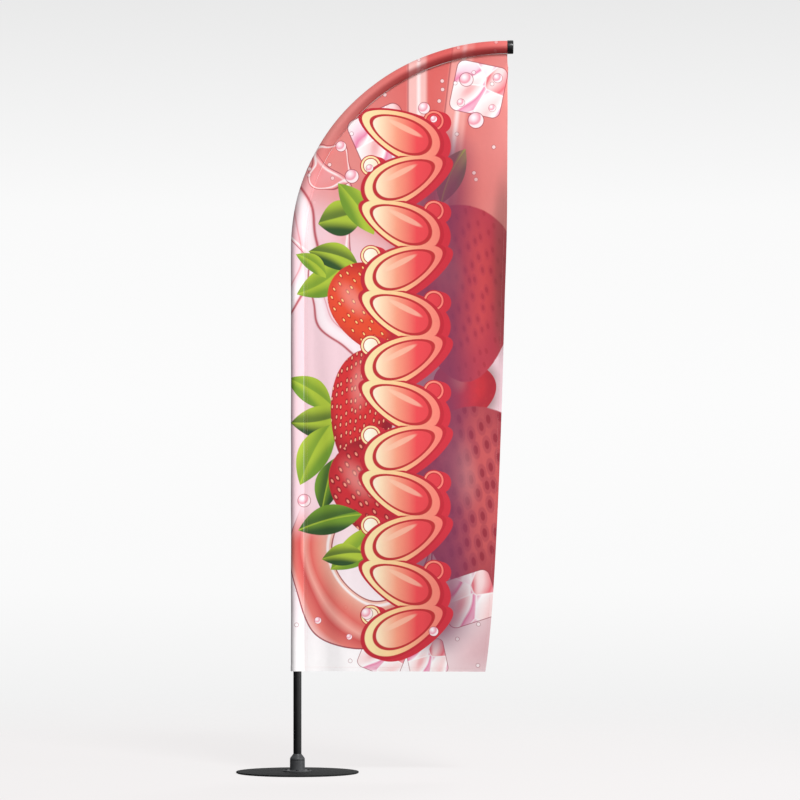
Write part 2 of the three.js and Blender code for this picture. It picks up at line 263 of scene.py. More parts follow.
def eased(values, times):
    """A grid's points with Catmull-Rom points between them along its first axis, so many times as dense."""
    count = len(values)
    places = np.linspace(0, count - 1, (count - 1) * times + 1)
    at = np.minimum(places.astype(int), count - 2)
    t = (places - at).reshape(-1, *([1] * (values.ndim - 1)))
    padded = np.concatenate([2 * values[:1] - values[1:2], values, 2 * values[-1:] - values[-2:-1]])
    a, b, c, d = (padded[at + k] for k in range(4))
    square = (2 * a - 5 * b + 4 * c - d) * t ** 2
    cube = (3 * b - a - 3 * c + d) * t ** 3
    return 0.5 * (2 * b + (c - a) * t + square + cube)


def grid_normals(places):
    """Unit normals of a grid, on the printed side."""
    up = np.gradient(places, axis=0)
    along = np.gradient(places, axis=1)
    normals = np.cross(along, up)
    length = np.maximum(np.linalg.norm(normals, axis=2, keepdims=True), 1e-12)
    return normals / length


def sheet_of(name, places, normals, thick):
    """A thin closed sheet on a grid of points, with material 0 in front and round the rim and 1 behind."""
    rows, columns = places.shape[:2]
    front = (places + normals * thick / 2).reshape(-1, 3)
    back = (places - normals * thick / 2).reshape(-1, 3)
    count = rows * columns
    faces = grid_faces(rows, columns)
    behind = [tuple(i + count for i in f[::-1]) for f in faces]
    corner = np.arange(count).reshape(rows, columns)
    rim = np.concatenate([corner[0], corner[1:, -1], corner[-1, -2::-1], corner[-2:0:-1, 0]])
    edges = [(rim[i], rim[i - 1], rim[i - 1] + count, rim[i] + count) for i in range(len(rim))]
    piece = new_piece(name, np.concatenate([front, back]), faces + behind + edges)
    sides = [0] * len(faces) + [1] * len(behind) + [0] * len(edges)
    piece.data.polygons.foreach_set("material_index", sides)
    sharpen(piece, 60)
    return piece


def stitches(rows_of_points, name="stitching"):
    """Short threads laid end to end along each row of (points, normals), all in one piece."""
    long, pitch, radius, sides = 0.0028, 0.0040, 0.00028, 5
    vertices, faces = [], []
    for points, normals in rows_of_points:
        length = np.concatenate([[0], np.cumsum(steps_of(points))])
        for start in np.arange(pitch / 2, length[-1] - long, pitch):
            ends = [[np.interp(s, length, points[:, k]) for k in range(3)] for s in (start, start + long)]
            normal = np.array([np.interp(start, length, normals[:, k]) for k in range(3)])
            a, b = np.array(ends)
            axis = (b - a) / np.linalg.norm(b - a)
            side = np.cross(axis, normal)
            first = len(vertices)
            for share, swell in ((0.0, 0.35), (0.5, 1.0), (1.0, 0.35)):
                centre = a + (b - a) * share + normal * radius * (swell - 0.3)
                for k in range(sides):
                    turn = 2 * math.pi * k / sides
                    out = side * math.cos(turn) + normal * math.sin(turn)
                    vertices.append(centre + radius * swell * out)
            faces += [tuple(first + i for i in f) for f in grid_faces(3, sides, wrap_columns=True)]
            faces.append(tuple(first + k for k in reversed(range(sides))))
            faces.append(tuple(first + 2 * sides + k for k in range(sides)))
    return new_piece(name, vertices, faces)


# ---------------------------------------------------------------- numbers and colours over a surface

def rgb(red, green, blue):
    """A colour as shaders want it, from its usual 0 to 255 values."""
    def one(value):
        share = value / 255
        return share / 12.92 if share <= 0.04045 else ((share + 0.055) / 1.055) ** 2.4
    return (one(red), one(green), one(blue), 1.0)


def grey(value):
    return rgb(value, value, value)


class Field:
    """A number that varies over a surface: a node's output, with arithmetic that makes more nodes."""

    def __init__(self, tree, socket):
        self.tree = tree
        self.socket = socket

    def math(self, operation, *others):
        node = add_node(self.tree, "Math")
        node.operation = operation
        for entry, value in zip(node.inputs, (self, *others)):
            connect(self.tree, value, entry)
        return Field(self.tree, node.outputs[0])

    def __add__(self, other):
        return self.math("ADD", other)

    def __sub__(self, other):
        return self.math("SUBTRACT", other)

    def __rsub__(self, other):
        return self.math("MULTIPLY_ADD", -1.0, other)

    def __mul__(self, other):
        return self.math("MULTIPLY", other)

    def __truediv__(self, other):
        return self.math("DIVIDE", other)

    __radd__ = __add__
    __rmul__ = __mul__

    def size(self):
        return self.math("ABSOLUTE")

    def most(self, other):
        return self.math("MAXIMUM", other)

    def least(self, other):
        return self.math("MINIMUM", other)

    def sine(self):
        return self.math("SINE")

    def fade(self, low, high, soft=True):
        """0 up to low, 1 from high on, and smooth between them, where high may be the smaller one."""
        node = add_node(self.tree, "MapRange", Value=self, From_Min=min(low, high), From_Max=max(low, high),
                        To_Min=float(high < low), To_Max=float(low <= high))
        node.interpolation_type = "SMOOTHSTEP" if soft else "LINEAR"
        return Field(self.tree, node.outputs["Result"])

    def below(self, limit, soft):
        """1 where the number is under a limit."""
        return self.fade(limit + soft / 2, limit - soft / 2)

    def near(self, value, half, soft):
        """1 within half of a value."""
        return (self - value).size().below(half, soft)

    def ramp(self, *stops):
        """A colour for the number, from (place, colour) stops."""
        node = add_node(self.tree, "ValToRGB", Fac=self)
        elements = node.color_ramp.elements
        while len(elements) < len(stops):
            elements.new(0.5)
        for element, (place, colour) in zip(elements, stops):
            element.position = place
            element.color = colour
        return node.outputs[0]


def connect(tree, value, entry):
    """Puts a field, a socket or a plain value into an input."""
    if isinstance(value, Field):
        tree.links.new(value.socket, entry)
    elif isinstance(value, bpy.types.NodeSocket):
        tree.links.new(value, entry)
    else:
        entry.default_value = value


def add_node(tree, kind, **entries):
    """A shader node with its inputs filled in; an underscore stands for a space in an input's name."""
    node = tree.nodes.new("ShaderNode" + kind)
    for entry, value in entries.items():
        connect(tree, value, node.inputs[entry.replace("_", " ")])
    return node


def parts_of(tree, socket):
    """A vector's three numbers."""
    return [Field(tree, number) for number in add_node(tree, "SeparateXYZ", Vector=socket).outputs]


class Spot:
    """A place on a surface as a flat vector, with x across and z up."""

    def __init__(self, tree, socket):
        self.tree = tree
        self.socket = socket
        self.x, self.z, _ = parts_of(tree, socket)

    def placed(self, at, turn=0.0, size=(1.0, 1.0)):
        """The place as seen from a point, turned by degrees, in units of a size."""
        return self.seen_from((*at, 0.0), (0.0, 0.0, math.radians(turn)), (*size, 1.0))

    def seen_from(self, place, turn, size):
        node = add_node(self.tree, "Mapping", Vector=self.socket, Location=place, Rotation=turn, Scale=size)
        node.vector_type = "TEXTURE"
        return Spot(self.tree, node.outputs[0])

    def reach(self):
        """How far the place is from the zero point."""
        return length_of(self.tree, self.x, self.z)

    def speckle(self, scale, randomness=1.0, feature="F1"):
        """Cells on the surface: the distance to the nearest middle or edge, and a number for each cell."""
        node = add_node(self.tree, "TexVoronoi", Vector=self.socket, Scale=scale, Randomness=randomness)
        node.voronoi_dimensions = "2D"
        node.feature = feature
        distance = Field(self.tree, node.outputs["Distance"])
        if feature == "DISTANCE_TO_EDGE":
            return distance, None
        apart = add_node(self.tree, "SeparateColor", Color=node.outputs["Color"])
        return distance, Field(self.tree, apart.outputs[0])

    def noise(self, scale, detail=2.0):
        node = add_node(self.tree, "TexNoise", Vector=self.socket, Scale=scale, Detail=detail)
        node.noise_dimensions = "2D"
        return Field(self.tree, node.outputs[0])


def flat_vector(tree, x, z):
    return add_node(tree, "CombineXYZ", X=x, Y=z).outputs[0]


def length_of(tree, x, z):
    node = add_node(tree, "VectorMath", Vector=flat_vector(tree, x, z))
    node.operation = "LENGTH"
    return Field(tree, node.outputs["Value"])


def mixed(tree, first, second, share):
    """A colour between two."""
    node = add_node(tree, "Mix")
    node.data_type = "RGBA"
    for entry, value in ((0, share), (6, first), (7, second)):
        connect(tree, value, node.inputs[entry])
    return node.outputs[2]


def open_group(name, *entries):
    """A node group that gives a colour, and its own inputs, from (kind, name) pairs."""
    tree = bpy.data.node_groups.new(name, "ShaderNodeTree")
    tree.interface.new_socket("Result", in_out="OUTPUT", socket_type="NodeSocketColor")
    for kind, entry in entries:
        tree.interface.new_socket(entry, in_out="INPUT", socket_type="NodeSocket" + kind)
    return tree, tree.nodes.new("NodeGroupInput").outputs


def close_group(tree, colour):
    tree.links.new(colour, tree.nodes.new("NodeGroupOutput").inputs[0])
    return tree


# ---------------------------------------------------------------- the printed picture, with some painted shade

SALMON = rgb(219, 100, 96)
LIGHT_SALMON = rgb(226, 136, 131)
BLUSH = rgb(242, 208, 216)
MILK = rgb(250, 243, 246)
WHITE = rgb(255, 252, 252)
WINE = rgb(150, 52, 66)
CREAM = rgb(250, 228, 172)
BRIGHT_RED = rgb(236, 74, 80)
LEAF_LIGHT = rgb(172, 194, 58)
LEAF_MID = rgb(112, 150, 44)
LEAF_DARK = rgb(44, 78, 36)


class Stamp:
    """One motif as a node group: it draws over the colour under it. Most motifs are print; a few are
    painted shade.
    """

    def __init__(self, name, numbers=(), colours=()):
        self.tree, entries = open_group(
            name, ("Color", "Under"), *(("Vector", entry) for entry in ("Place", "At", "Turn", "Size")),
            *(("Float", entry) for entry in numbers), *(("Color", entry) for entry in colours))
        self.colour = entries["Under"]
        self.numbers = {entry: Field(self.tree, entries[entry]) for entry in numbers}
        self.colours = {entry: entries[entry] for entry in colours}
        # The place takes in a trace of the colour under it, too small to show. The renderer then works
        # through the motifs one at a time, and a picture of this many fits in its memory for one shader.
        trace = add_node(self.tree, "VectorMath", Vector=entries["Under"])
        trace.operation = "MULTIPLY_ADD"
        trace.inputs[1].default_value = (1e-12, 1e-12, 0.0)
        self.tree.links.new(entries["Place"], trace.inputs[2])
        self.whole = Spot(self.tree, trace.outputs[0])
        self.spot = self.whole.seen_from(entries["At"], entries["Turn"], entries["Size"])

    def lay(self, colour, share):
        self.colour = mixed(self.tree, self.colour, colour, share)

    def done(self):
        return close_group(self.tree, self.colour)


def ground_stamp():
    """Milk at the foot, blush above it and a salmon haze over the top and towards the free edge, with a
    painted shade of greyish pink over the lower corner at the free edge.
    """
    stamp = Stamp("print_ground_and_corner_shade")
    spot = stamp.whole
    cloud = spot.noise(2.2)
    stamp.colour = mixed(stamp.tree, MILK, BLUSH, (spot.z + cloud * 0.4).fade(0.55, 1.25))
    haze = (spot.z + spot.x * 0.62 + cloud * 0.30).fade(2.13, 2.42)
    stamp.lay((spot.x + cloud * 0.3).ramp((0.3, LIGHT_SALMON), (0.68, SALMON), (0.9, LIGHT_SALMON)), haze)
    stamp.lay(WHITE, (spot.z + spot.x * 0.25).fade(0.62, 0.42) * 0.8)
    # painted shade: greyish pink over the lower corner at the free edge, where the cloth turns away from
    # the light
    stamp.lay(rgb(222, 172, 178), (spot.x * 1.6 - spot.z + cloud * 0.25).fade(0.35, 0.75)
              * spot.z.fade(0.22, 0.46) * 0.85)
    return stamp.done()


def stream_stamp():
    """A stream of light liquid falling from the top edge, with a dark line down one side."""
    stamp = Stamp("print_stream", ("Lean", "Strength"), ("Tint",))
    spot = stamp.spot
    across = spot.x - spot.z * stamp.numbers["Lean"]
    high = stamp.whole.z.fade(1.95, 2.3)
    stamp.lay(stamp.colours["Tint"], across.size().below(1.0, 0.5) * high * stamp.numbers["Strength"])
    stamp.lay(WHITE, across.near(0.15, 0.18, 0.35) * high * stamp.numbers["Strength"] * 0.8)
    stamp.lay(WINE, across.near(-1.0, 0.06, 0.09) * high * 0.6)
    return stamp.done()


def film_stamp():
    """A clear sheet of liquid: a wobbly oval with a tint, a dark rim and a white glint inside the rim."""
    stamp = Stamp("print_film", ("Strength",), ("Tint",))
    spot = stamp.spot
    edge = spot.reach() + spot.noise(1.1, 0.0) * 0.9 - 0.45
    tinted = edge.below(1.0, 0.03) * edge.fade(0.2, 1.0) * stamp.numbers["Strength"]
    stamp.lay(stamp.colours["Tint"], tinted)
    stamp.lay(WHITE, edge.near(0.90, 0.03, 0.06) * 0.75)
    stamp.lay(WINE, edge.near(0.985, 0.013, 0.02) * 0.85)
    return stamp.done()


def ice_stamp():
    """An ice cube: a rounded block cut into bright and pink facets."""
    stamp = Stamp("print_ice")
    spot = stamp.spot
    corner = length_of(stamp.tree, (spot.x.size() - 0.7).most(0.0), (spot.z.size() - 0.7).most(0.0))
    inside = corner.below(0.3, 0.03)
    _, facet = spot.speckle(0.8)
    streak = spot.placed((0.2, 0.1), 62.0, (2.4, 0.8)).noise(0.9, 0.5)
    tone = facet * 0.85 + streak * 0.95 - 0.38
    facets = tone.ramp((0.0, rgb(214, 62, 104)), (0.14, rgb(240, 170, 194)), (0.26, WHITE),
                       (0.42, rgb(248, 212, 226)), (0.50, rgb(236, 132, 172)), (0.56, WHITE),
                       (0.72, rgb(250, 214, 214)), (0.84, rgb(230, 108, 118)),
                       (1.0, rgb(252, 228, 236)))
    stamp.lay(facets, inside)
    crack, _ = spot.speckle(0.8, feature="DISTANCE_TO_EDGE")
    stamp.lay(WHITE, crack.below(0.02, 0.04) * inside * 0.8)
    stamp.lay(WINE, corner.near(0.3, 0.016, 0.02) * 0.8)
    return stamp.done()


def leaf_stamp():
    """A pointed leaf, lighter on one side of its rib."""
    stamp = Stamp("print_leaf", ("Bend",), ("Light", "Dark"))
    spot = stamp.spot
    wide = 1.0 - spot.x * spot.x
    beside = spot.z - wide * stamp.numbers["Bend"]
    inside = (beside.size() - wide).below(0.0, 0.05)
    light, dark = stamp.colours["Light"], stamp.colours["Dark"]
    stamp.lay(mixed(stamp.tree, dark, light, (beside + spot.x * 0.35).fade(-0.7, -0.05)), inside)
    stamp.lay(dark, (beside - spot.x * 0.15).fade(0.02, 0.12) * (beside.fade(0.95, 0.2) * 0.75) * inside)
    stamp.lay(LEAF_LIGHT, beside.size().below(0.05, 0.05) * inside * 0.7)
    return stamp.done()


def berry_stamp():
    """A strawberry with its point downwards before it is turned, its seeds and a soft gloss."""
    stamp = Stamp("print_berry", ("Veil", "Pitch", "Swell"), ("Bright", "Deep", "Seed"))
    spot = stamp.spot
    deep = stamp.colours["Deep"]
    edge = length_of(stamp.tree, spot.x / (spot.z * 0.26 + 1.08), spot.z)
    inside = edge.below(1.0, 0.02)
    round_off = (edge + spot.x * 0.25 - spot.z * 0.15).fade(0.5, 1.05)
    stamp.lay(mixed(stamp.tree, stamp.colours["Bright"], deep, round_off), inside)
    pits = flat_vector(stamp.tree, stamp.numbers["Pitch"], stamp.numbers["Pitch"] * 1.3)
    distance, _ = spot.seen_from((0.0, 0.0, 0.0), (0.0, 0.0, 0.35), pits).speckle(1.0, 0.45)
    distance = distance / stamp.numbers["Swell"]
    shown = inside * (1.0 - stamp.numbers["Veil"])
    stamp.lay(deep, distance.below(0.30, 0.10) * shown * 0.75)
    stamp.lay(stamp.colours["Seed"], distance.below(0.15, 0.07) * shown)
    gloss = spot.placed((-0.3, 0.35), 25.0, (0.42, 0.6)).reach().fade(1.0, 0.1)
    stamp.lay(rgb(255, 190, 180), gloss * inside * 0.35)
    return stamp.done()


def bubble_stamp():
    """A clear drop: a pale middle, a dark rim and a white glint."""
    stamp = Stamp("print_bubble")
    reach = stamp.spot.reach()
    glint = stamp.spot.placed((-0.3, 0.35)).reach()
    stamp.lay(glint.ramp((0.0, WHITE), (0.3, rgb(252, 224, 232)), (0.8, rgb(238, 150, 168)),
                         (1.0, rgb(252, 230, 234))), reach.below(0.94, 0.08))
    stamp.lay(WINE, reach.near(0.97, 0.05, 0.08) * 0.8)
    return stamp.done()


def spray_stamp():
    """Small bubbles strewn over the top and the foot."""
    stamp = Stamp("print_spray")
    spot = stamp.whole
    where = spot.z.fade(2.05, 2.25).most(spot.z.fade(0.72, 0.6))
    distance, pick = spot.speckle(15.0)
    chosen = pick.fade(0.62, 0.64) * where
    stamp.lay(WHITE, distance.below(0.10, 0.03) * chosen * 0.55)
    stamp.lay(WINE, distance.near(0.11, 0.012, 0.02) * chosen * 0.8)
    return stamp.done()


def curl_stamp():
    """A curling tongue of liquid: bands between two ovals that touch at one side."""
    stamp = Stamp("print_curl")
    spot = stamp.spot
    wobble = spot.noise(1.4, 0.0) * 0.26 - 0.13
    reach = spot.reach() + wobble
    hollow = spot.placed((0.30, 0.16), 0.0, (0.66, 0.66)).reach() + wobble
    low = spot.z.fade(0.62, 0.15)
    band = reach.below(1.0, 0.02) * hollow.fade(0.98, 1.0) * low
    depth = hollow.fade(1.0, 2.0, soft=False)
    bands = depth.ramp((0.0, rgb(244, 190, 172)), (0.2, rgb(232, 150, 130)),
                       (0.42, rgb(224, 92, 80)), (0.56, rgb(240, 160, 146)),
                       (0.68, rgb(206, 62, 58)), (0.86, rgb(228, 112, 100)),
                       (1.0, rgb(246, 196, 190)))
    stamp.lay(bands, band * 0.95)
    stamp.lay(WHITE, hollow.near(1.07, 0.025, 0.04) * band * 0.8)
    stamp.lay(WINE, reach.near(1.0, 0.008, 0.012) * hollow.fade(0.9, 1.0) * low)
    stamp.lay(WINE, hollow.near(1.0, 0.010, 0.016) * reach.below(1.0, 0.05) * low)
    return stamp.done()


def shade_stamp():
    """A soft dark bar with round ends, as long either way from its middle as Long says: printed shadows,
    and painted shade along the free edge.
    """
    stamp = Stamp("printed_and_painted_shade", ("Long", "Strength"), ("Tint",))
    beyond = (stamp.spot.z.size() - stamp.numbers["Long"]).most(0.0)
    reach = length_of(stamp.tree, stamp.spot.x, beyond)
    stamp.lay(stamp.colours["Tint"], reach.fade(1.0, 0.3) * stamp.numbers["Strength"])
    return stamp.done()


def crease_shade_stamp():
    """Painted shade on the bent part of the sleeve: the tube drawn darker near the pole's end, and a dark
    red band on its underside where it shades the cloth; the motif's size is the bend's.
    """
    stamp = Stamp("painted_crease_shade")
    reach = stamp.spot.reach()
    tube = 1.0 - reach.below(0.9655, 0.004)
    under = reach.fade(1.012, 0.985) * tube
    # painted shade: the tube darker near the end of the bend, then dark red under the tube
    stamp.lay(rgb(204, 78, 76), tube * stamp.spot.z.fade(0.88, 0.98) * 0.6)
    stamp.lay(rgb(150, 34, 38), under * stamp.spot.z.fade(0.30, 0.97) * 0.85)
    return stamp.done()


def ribbon_stamp():
    """A bright rivulet along the left side of a circle, edged in wine red and running out at both ends."""
    stamp = Stamp("print_ribbon")
    reach = stamp.spot.reach() + (stamp.spot.noise(1.8, 0.0) * 0.16 - 0.08)
    shown = stamp.spot.x.fade(-0.25, -0.6)
    stamp.lay(rgb(253, 240, 244), reach.near(0.97, 0.05, 0.08) * shown * 0.85)
    stamp.lay(rgb(176, 44, 60), reach.near(1.04, 0.012, 0.022) * shown * 0.9)
    stamp.lay(rgb(214, 120, 130), reach.near(0.89, 0.006, 0.014) * shown * 0.7)
    return stamp.done()


GARLAND_ROWS = 12


def garland_stamp():
    """A tall garland of crossed petals with beads between them, each edged in red and cream.

    It starts at the motif's place, and the motif's size is the distance between two petals.
    """
    stamp = Stamp("print_garland")
    spot = stamp.spot
    tree = stamp.tree
    index = spot.z.math("FLOOR")
    across = spot.x * 0.5 + 0.5
    rim = across.ramp((0.1, CREAM), (0.45, rgb(251, 204, 148)), (0.72, rgb(246, 150, 126)),
                      (1.0, rgb(242, 116, 108)))
    face = across.ramp((0.12, rgb(253, 248, 232)), (0.26, rgb(252, 222, 186)),
                       (0.44, rgb(246, 156, 128)), (0.66, BRIGHT_RED), (0.95, rgb(218, 56, 68)))

    def petal_row(step, shift):
        """One row's petal and how far its outline and its bead's are, all moved to the right by shift."""
        this = (index + step).most(0.0).least(GARLAND_ROWS - 1.0)
        mirror = 1.0 - (this.math("MODULO", 2.0) * 2.0)
        local = Spot(tree, flat_vector(tree, (spot.x - shift) * mirror, spot.z - this + shift * 0.3))
        petal = local.placed((0.04, 0.5), 25.0, (0.86, 0.43))
        reach = length_of(tree, petal.x, petal.z / (petal.x * -0.25 + 1.0))
        return petal, reach, local.placed((-0.70, 0.78), 0.0, (0.20, 0.20)).reach()

    for shift in (0.15, 0.08):
        for step in (1.0, -1.0, 0.0):
            _, reach, bead = petal_row(step, shift)
            stamp.lay(rgb(206, 44, 60), reach.below(1.19, 0.03))
            stamp.lay(rgb(206, 44, 60), bead.below(1.19, 0.03))
    for step in (1.0, -1.0, 0.0):
        petal, reach, bead = petal_row(step, 0.0)
        for edge in (bead, reach):
            stamp.lay(rgb(192, 36, 52), edge.below(1.19, 0.03))
            stamp.lay(rim, edge.below(1.08, 0.03))
            stamp.lay(rgb(190, 44, 50), edge.below(0.87, 0.03))
            stamp.lay(face, edge.below(0.77, 0.03))
        gloss = petal.placed((-0.05, 0.34), 4.0, (0.55, 0.17)).reach().fade(1.0, 0.7)
        stamp.lay(rgb(252, 206, 178), gloss * 0.55)
    return stamp.done()


class Picture:
    """The flag's print with its painted shade, made by pressing stamps one over another."""

    def __init__(self, tree, place):
        self.tree = tree
        self.place = place
        self.colour = None
        self.stamps = {}

    def press(self, stamp, at=(0.0, 0.0), turn=0.0, size=(1.0, 1.0), **values):
        """One stamp at a place in metres, turned by degrees."""
        if stamp not in self.stamps:
            self.stamps[stamp] = stamp()
        node = add_node(self.tree, "Group")
        node.node_tree = self.stamps[stamp]
        if self.colour is not None:
            values["under"] = self.colour
        values.update(place=self.place, at=(*at, 0.0), size=(*size, 1.0))
        values["turn"] = (0.0, 0.0, math.radians(turn))
        for entry, value in values.items():
            connect(self.tree, value, node.inputs[entry.capitalize()])
        self.colour = node.outputs[0]

    def leaf(self, at, turn, size, bend, light=LEAF_LIGHT, dark=LEAF_MID):
        self.press(leaf_stamp, at, turn, size, bend=bend, light=light, dark=dark)

    def berry(self, at, turn, size, bright, deep, seed, veil=0.0, pitch=0.145, swell=1.0):
        self.press(berry_stamp, at, turn, size, bright=bright, deep=deep, seed=seed,
                   veil=veil, pitch=pitch, swell=swell)

    def film(self, at, size, turn, tint, strength):
        self.press(film_stamp, at, turn, size, tint=tint, strength=strength)


def paint_print(tree, place):
    """The whole picture, from the back to the front; places in metres from the pole's foot."""
    art = Picture(tree, place)
    art.press(ground_stamp)
    art.press(stream_stamp, (0.44, 2.4), 0, (0.034, 0.034),
              lean=0.0, strength=0.8, tint=rgb(250, 205, 200))
    art.press(stream_stamp, (0.578, 2.4), 0, (0.040, 0.040),
              lean=0.12, strength=0.7, tint=rgb(246, 176, 168))
    art.film((0.07, 2.06), (0.15, 0.22), 20, rgb(240, 160, 168), 0.55)
    art.film((0.12, 2.22), (0.10, 0.08), 50, rgb(236, 130, 130), 0.5)
    art.press(ribbon_stamp, (-0.28, 1.93), 180, (0.345, 0.345))
    art.press(ribbon_stamp, (0.33, 1.80), 45, (0.28, 0.28))
    art.film((0.63, 1.56), (0.10, 0.22), -14, rgb(214, 120, 130), 0.3)
    art.press(ice_stamp, (0.315, 2.325), 24, (0.105, 0.110))
    art.press(ice_stamp, (0.665, 2.51), -12, (0.094, 0.094))
    art.press(spray_stamp)
    # the fruit on the right, in the garland's shade
    art.press(shade_stamp, (0.68, 1.41), 0, (0.08, 0.10), long=0.3, tint=rgb(128, 96, 92), strength=0.75)
    art.leaf((0.572, 2.19), 66, (0.110, 0.050), 0.25, rgb(150, 140, 90), rgb(96, 96, 74))
    art.berry((0.61, 1.40), -10, (0.105, 0.11),
              rgb(206, 48, 56), rgb(176, 40, 54), rgb(190, 60, 60),
              veil=0.8, pitch=0.3)
    art.berry((0.60, 1.76), 4, (0.195, 0.325),
              rgb(206, 72, 78), rgb(186, 60, 76), rgb(170, 48, 64),
              veil=0.35, pitch=0.15, swell=1.2)
    art.berry((0.655, 1.00), 2, (0.21, 0.345),
              rgb(196, 84, 86), rgb(170, 66, 76), rgb(150, 44, 58),
              pitch=0.17, swell=1.5)
    # painted shade: a soft greyish band down the free edge where it rolls forwards
    art.press(shade_stamp, (0.756, 1.86), 0, (0.05, 0.25), long=0.6, tint=rgb(128, 84, 80), strength=0.4)
    art.press(ice_stamp, (0.63, 0.64), 18, (0.098, 0.088))
    art.press(ice_stamp, (0.315, 0.435), -22, (0.080, 0.072))
    art.press(ice_stamp, (0.475, 0.42), 12, (0.070, 0.064))
    art.press(curl_stamp, (0.225, 0.79), 0, (0.27, 0.33))
    # the fruit on the left
    art.leaf((0.16, 2.03), 10, (0.085, 0.066), 0.1, LEAF_LIGHT, LEAF_DARK)
    art.leaf((0.215, 2.07), -55, (0.115, 0.050), 0.2)
    art.leaf((0.10, 1.82), 32, (0.12, 0.054), -0.3)
    art.leaf((0.135, 1.88), -20, (0.10, 0.048), 0.4, LEAF_LIGHT, LEAF_DARK)
    art.leaf((0.05, 1.86), -38, (0.07, 0.030), 0.5)
    art.berry((0.262, 1.70), 28, (0.115, 0.18),
              rgb(230, 76, 46), rgb(186, 34, 40), rgb(250, 208, 130),
              pitch=0.21, swell=0.8)
    art.leaf((0.045, 1.39), -35, (0.10, 0.048), 0.3)
    art.leaf((0.085, 1.30), 8, (0.11, 0.060), -0.2, LEAF_LIGHT, LEAF_DARK)
    art.leaf((0.075, 1.17), 60, (0.13, 0.058), 0.25)
    art.leaf((0.115, 1.06), 76, (0.10, 0.046), 0.1, LEAF_MID, LEAF_DARK)
    art.berry((0.245, 1.34), -12, (0.115, 0.22),
              rgb(214, 46, 50), rgb(148, 20, 36), rgb(244, 176, 140))
    art.berry((0.285, 1.03), 24, (0.135, 0.20),
              rgb(200, 40, 50), rgb(140, 20, 36), rgb(238, 150, 126),
              pitch=0.19)
    art.leaf((0.12, 0.92), 14, (0.12, 0.054), 0.2, LEAF_MID, LEAF_DARK)
    art.leaf((0.215, 0.83), 42, (0.125, 0.055), -0.2)
    art.leaf((0.17, 0.79), 4, (0.08, 0.041), 0.3, LEAF_LIGHT, LEAF_DARK)
    # painted shade under the bent part of the sleeve
    art.press(crease_shade_stamp, (TIP_X, BEND_Z), 0, (TIP_X, BEND_HIGH))
    # the garland over its own shadow
    art.press(shade_stamp, (0.50, 1.41), 0, (0.19, 0.19),
              long=4.35, tint=rgb(124, 50, 84), strength=0.86)
    art.press(garland_stamp, (0.385, 0.45), 0, (0.165, 0.165))
    for x, z, radius in ((0.62, 2.545, 0.026), (0.60, 2.46, 0.015), (0.735, 2.55, 0.018),
                         (0.655, 2.395, 0.030), (0.715, 2.44, 0.014), (0.16, 2.30, 0.020),
                         (0.465, 2.44, 0.022), (0.50, 2.40, 0.013), (0.20, 2.19, 0.026),
                         (0.265, 2.22, 0.014), (0.025, 1.00, 0.024), (0.255, 0.585, 0.022),
                         (0.075, 0.56, 0.013), (0.50, 0.52, 0.018), (0.19, 0.50, 0.011)):
        art.press(bubble_stamp, (x, z), 0, (radius, radius))
    return art.colour


# ---------------------------------------------------------------- materials

class Surface:
    """A material on a Principled shader, with object coordinates to hang its detail on."""

    def __init__(self, name, colour=(0.5, 0.5, 0.5, 1.0), roughness=0.5, metallic=0.0):
        self.material = bpy.data.materials.new(name)
        self.material.use_nodes = True
        self.tree = self.material.node_tree
        self.shader = self.tree.nodes["Principled BSDF"]
        self.put(Base_Color=colour, Roughness=roughness, Metallic=metallic)
        self.object_place = add_node(self.tree, "TexCoord").outputs["Object"]

    def put(self, **entries):
        """Values or links for the shader's own inputs, named as in add_node."""
        for entry, value in entries.items():
            connect(self.tree, value, self.shader.inputs[entry.replace("_", " ")])

    def noise(self, scale, detail=3.0, stretch=(1.0, 1.0, 1.0)):
        place = add_node(self.tree, "Mapping", Vector=self.object_place, Scale=stretch)
        node = add_node(self.tree, "TexNoise", Vector=place.outputs[0], Scale=scale, Detail=detail)
        return Field(self.tree, node.outputs[0])

    def tint(self, share, first, second):
        self.put(Base_Color=mixed(self.tree, first, second, share))

    def rough(self, share, low, high):
        self.put(Roughness=share * (high - low) + low)

    def bump(self, height, depth):
        """Raises the surface by up to depth metres where height is 1."""
        node = add_node(self.tree, "Bump", Height=height, Distance=depth, Strength=1.0)
        self.put(Normal=node.outputs[0])


def hard_surface(name, dark, light, metallic, rough, grain, depth, stretch=(1.0, 1.0, 1.0), gloss=0.5):
    """A finish that varies in colour and gloss over the piece, with a fine grain in relief."""
    look = Surface(name, metallic=metallic)
    look.put(Specular_IOR_Level=gloss)
    cloud = look.noise(9.0)
    fine = look.noise(grain, 4.0, stretch)
    look.tint((cloud * 0.55 + fine * 0.45).fade(0.35, 0.65), dark, light)
    look.rough((cloud * 0.5 + fine * 0.5).fade(0.3, 0.7), *rough)
    look.bump(fine, depth)
    return look.material


# The plate and the hub share one powder coat. The plate's copy is drawn darker: painted shade for its flat
# top.
SHADED_PLATE_COAT = hard_surface("plate_coat_painted_dark", rgb(24, 25, 26), rgb(34, 35, 36),
                          metallic=0.0, rough=(0.6, 0.75), grain=900, depth=0.00008, gloss=0.12)
